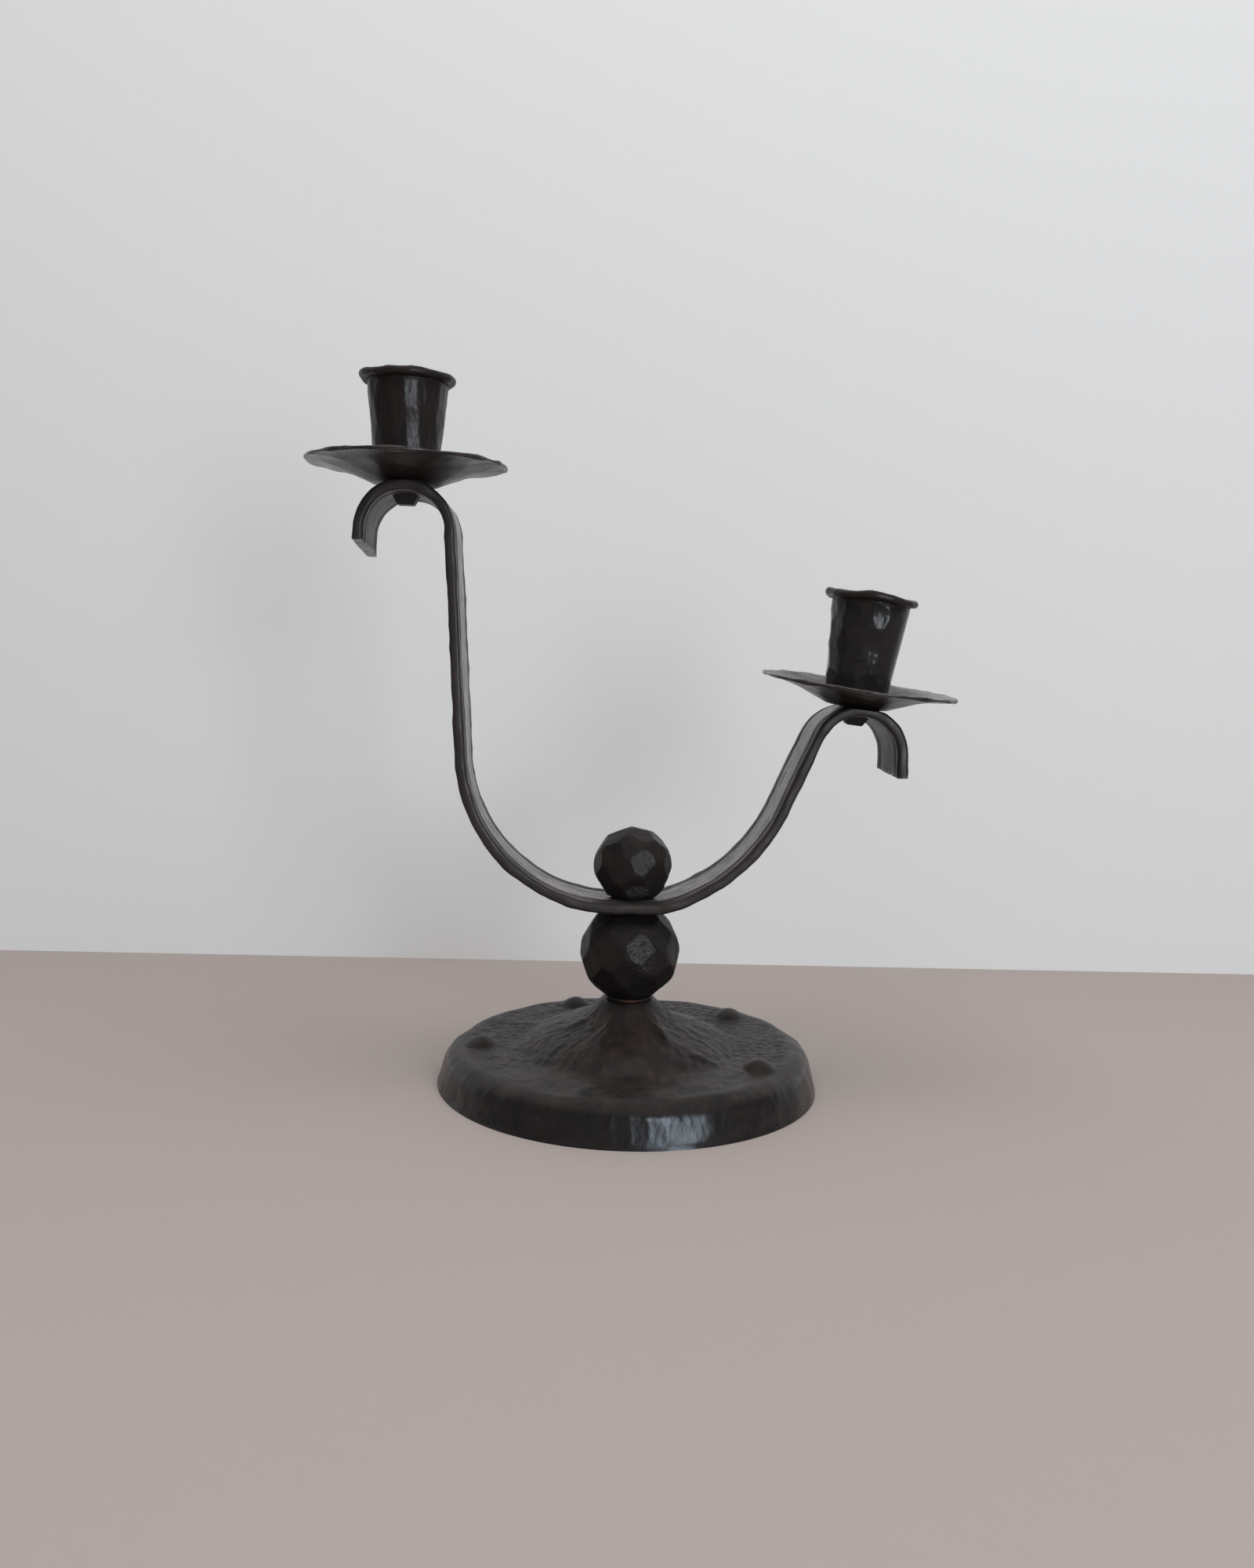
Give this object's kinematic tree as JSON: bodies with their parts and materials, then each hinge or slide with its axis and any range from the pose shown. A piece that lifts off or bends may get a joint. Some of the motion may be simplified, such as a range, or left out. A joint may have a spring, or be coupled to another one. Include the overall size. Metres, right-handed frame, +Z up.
{
  "type": "double-arm candle holder",
  "caption": "Hammered black iron candle holder: round footed base, faceted balls and a bent strap arm with a tall and a low candle cup, each on its drip pan.",
  "frame": {"origin": "centre of the foot on the table", "axes": "+Z up along the tie rod, +X towards the low arm, +Y away from the front"},
  "size_m": [0.2051, 0.12, 0.2201],
  "materials": {
    "foot_iron": "blackened hammered sheet iron, waxed to a soft satin, peened all over the top",
    "ball_iron": "blackened forged iron with polished hammer facets",
    "strap_iron": "blackened rolled bar iron, satin, with greyer flat fields",
    "pan_iron": "brown-black sheet iron, worn lighter along the rim",
    "cup_iron": "blackened sheet iron with long hammer facets, satin",
    "rivet_iron": "blackened forged iron",
    "rust_iron": "dull rust brown",
    "bare_steel": "dull oiled steel"
  },
  "bodies": {
    "stand": {"foot": "foot_iron", "neck_ring": "rust_iron", "lower_ball": "ball_iron", "upper_ball": "ball_iron", "tie_rod": "bare_steel", "clamp_washer": "bare_steel", "clamp_nut": "bare_steel"},
    "arm": {"arm_strap": "strap_iron", "drip_pan_left": "pan_iron", "drip_pan_right": "pan_iron", "candle_cup_left": "cup_iron", "candle_cup_right": "cup_iron", "rivet_left": "rivet_iron", "rivet_right": "rivet_iron"}
  },
  "joints": [
    {"name": "arm_swivel", "type": "hinge", "parent": "stand", "child": "arm", "pos_m": [0, 0, 0.0584], "axis": [0, 0, 1], "continuous": true}
  ]
}
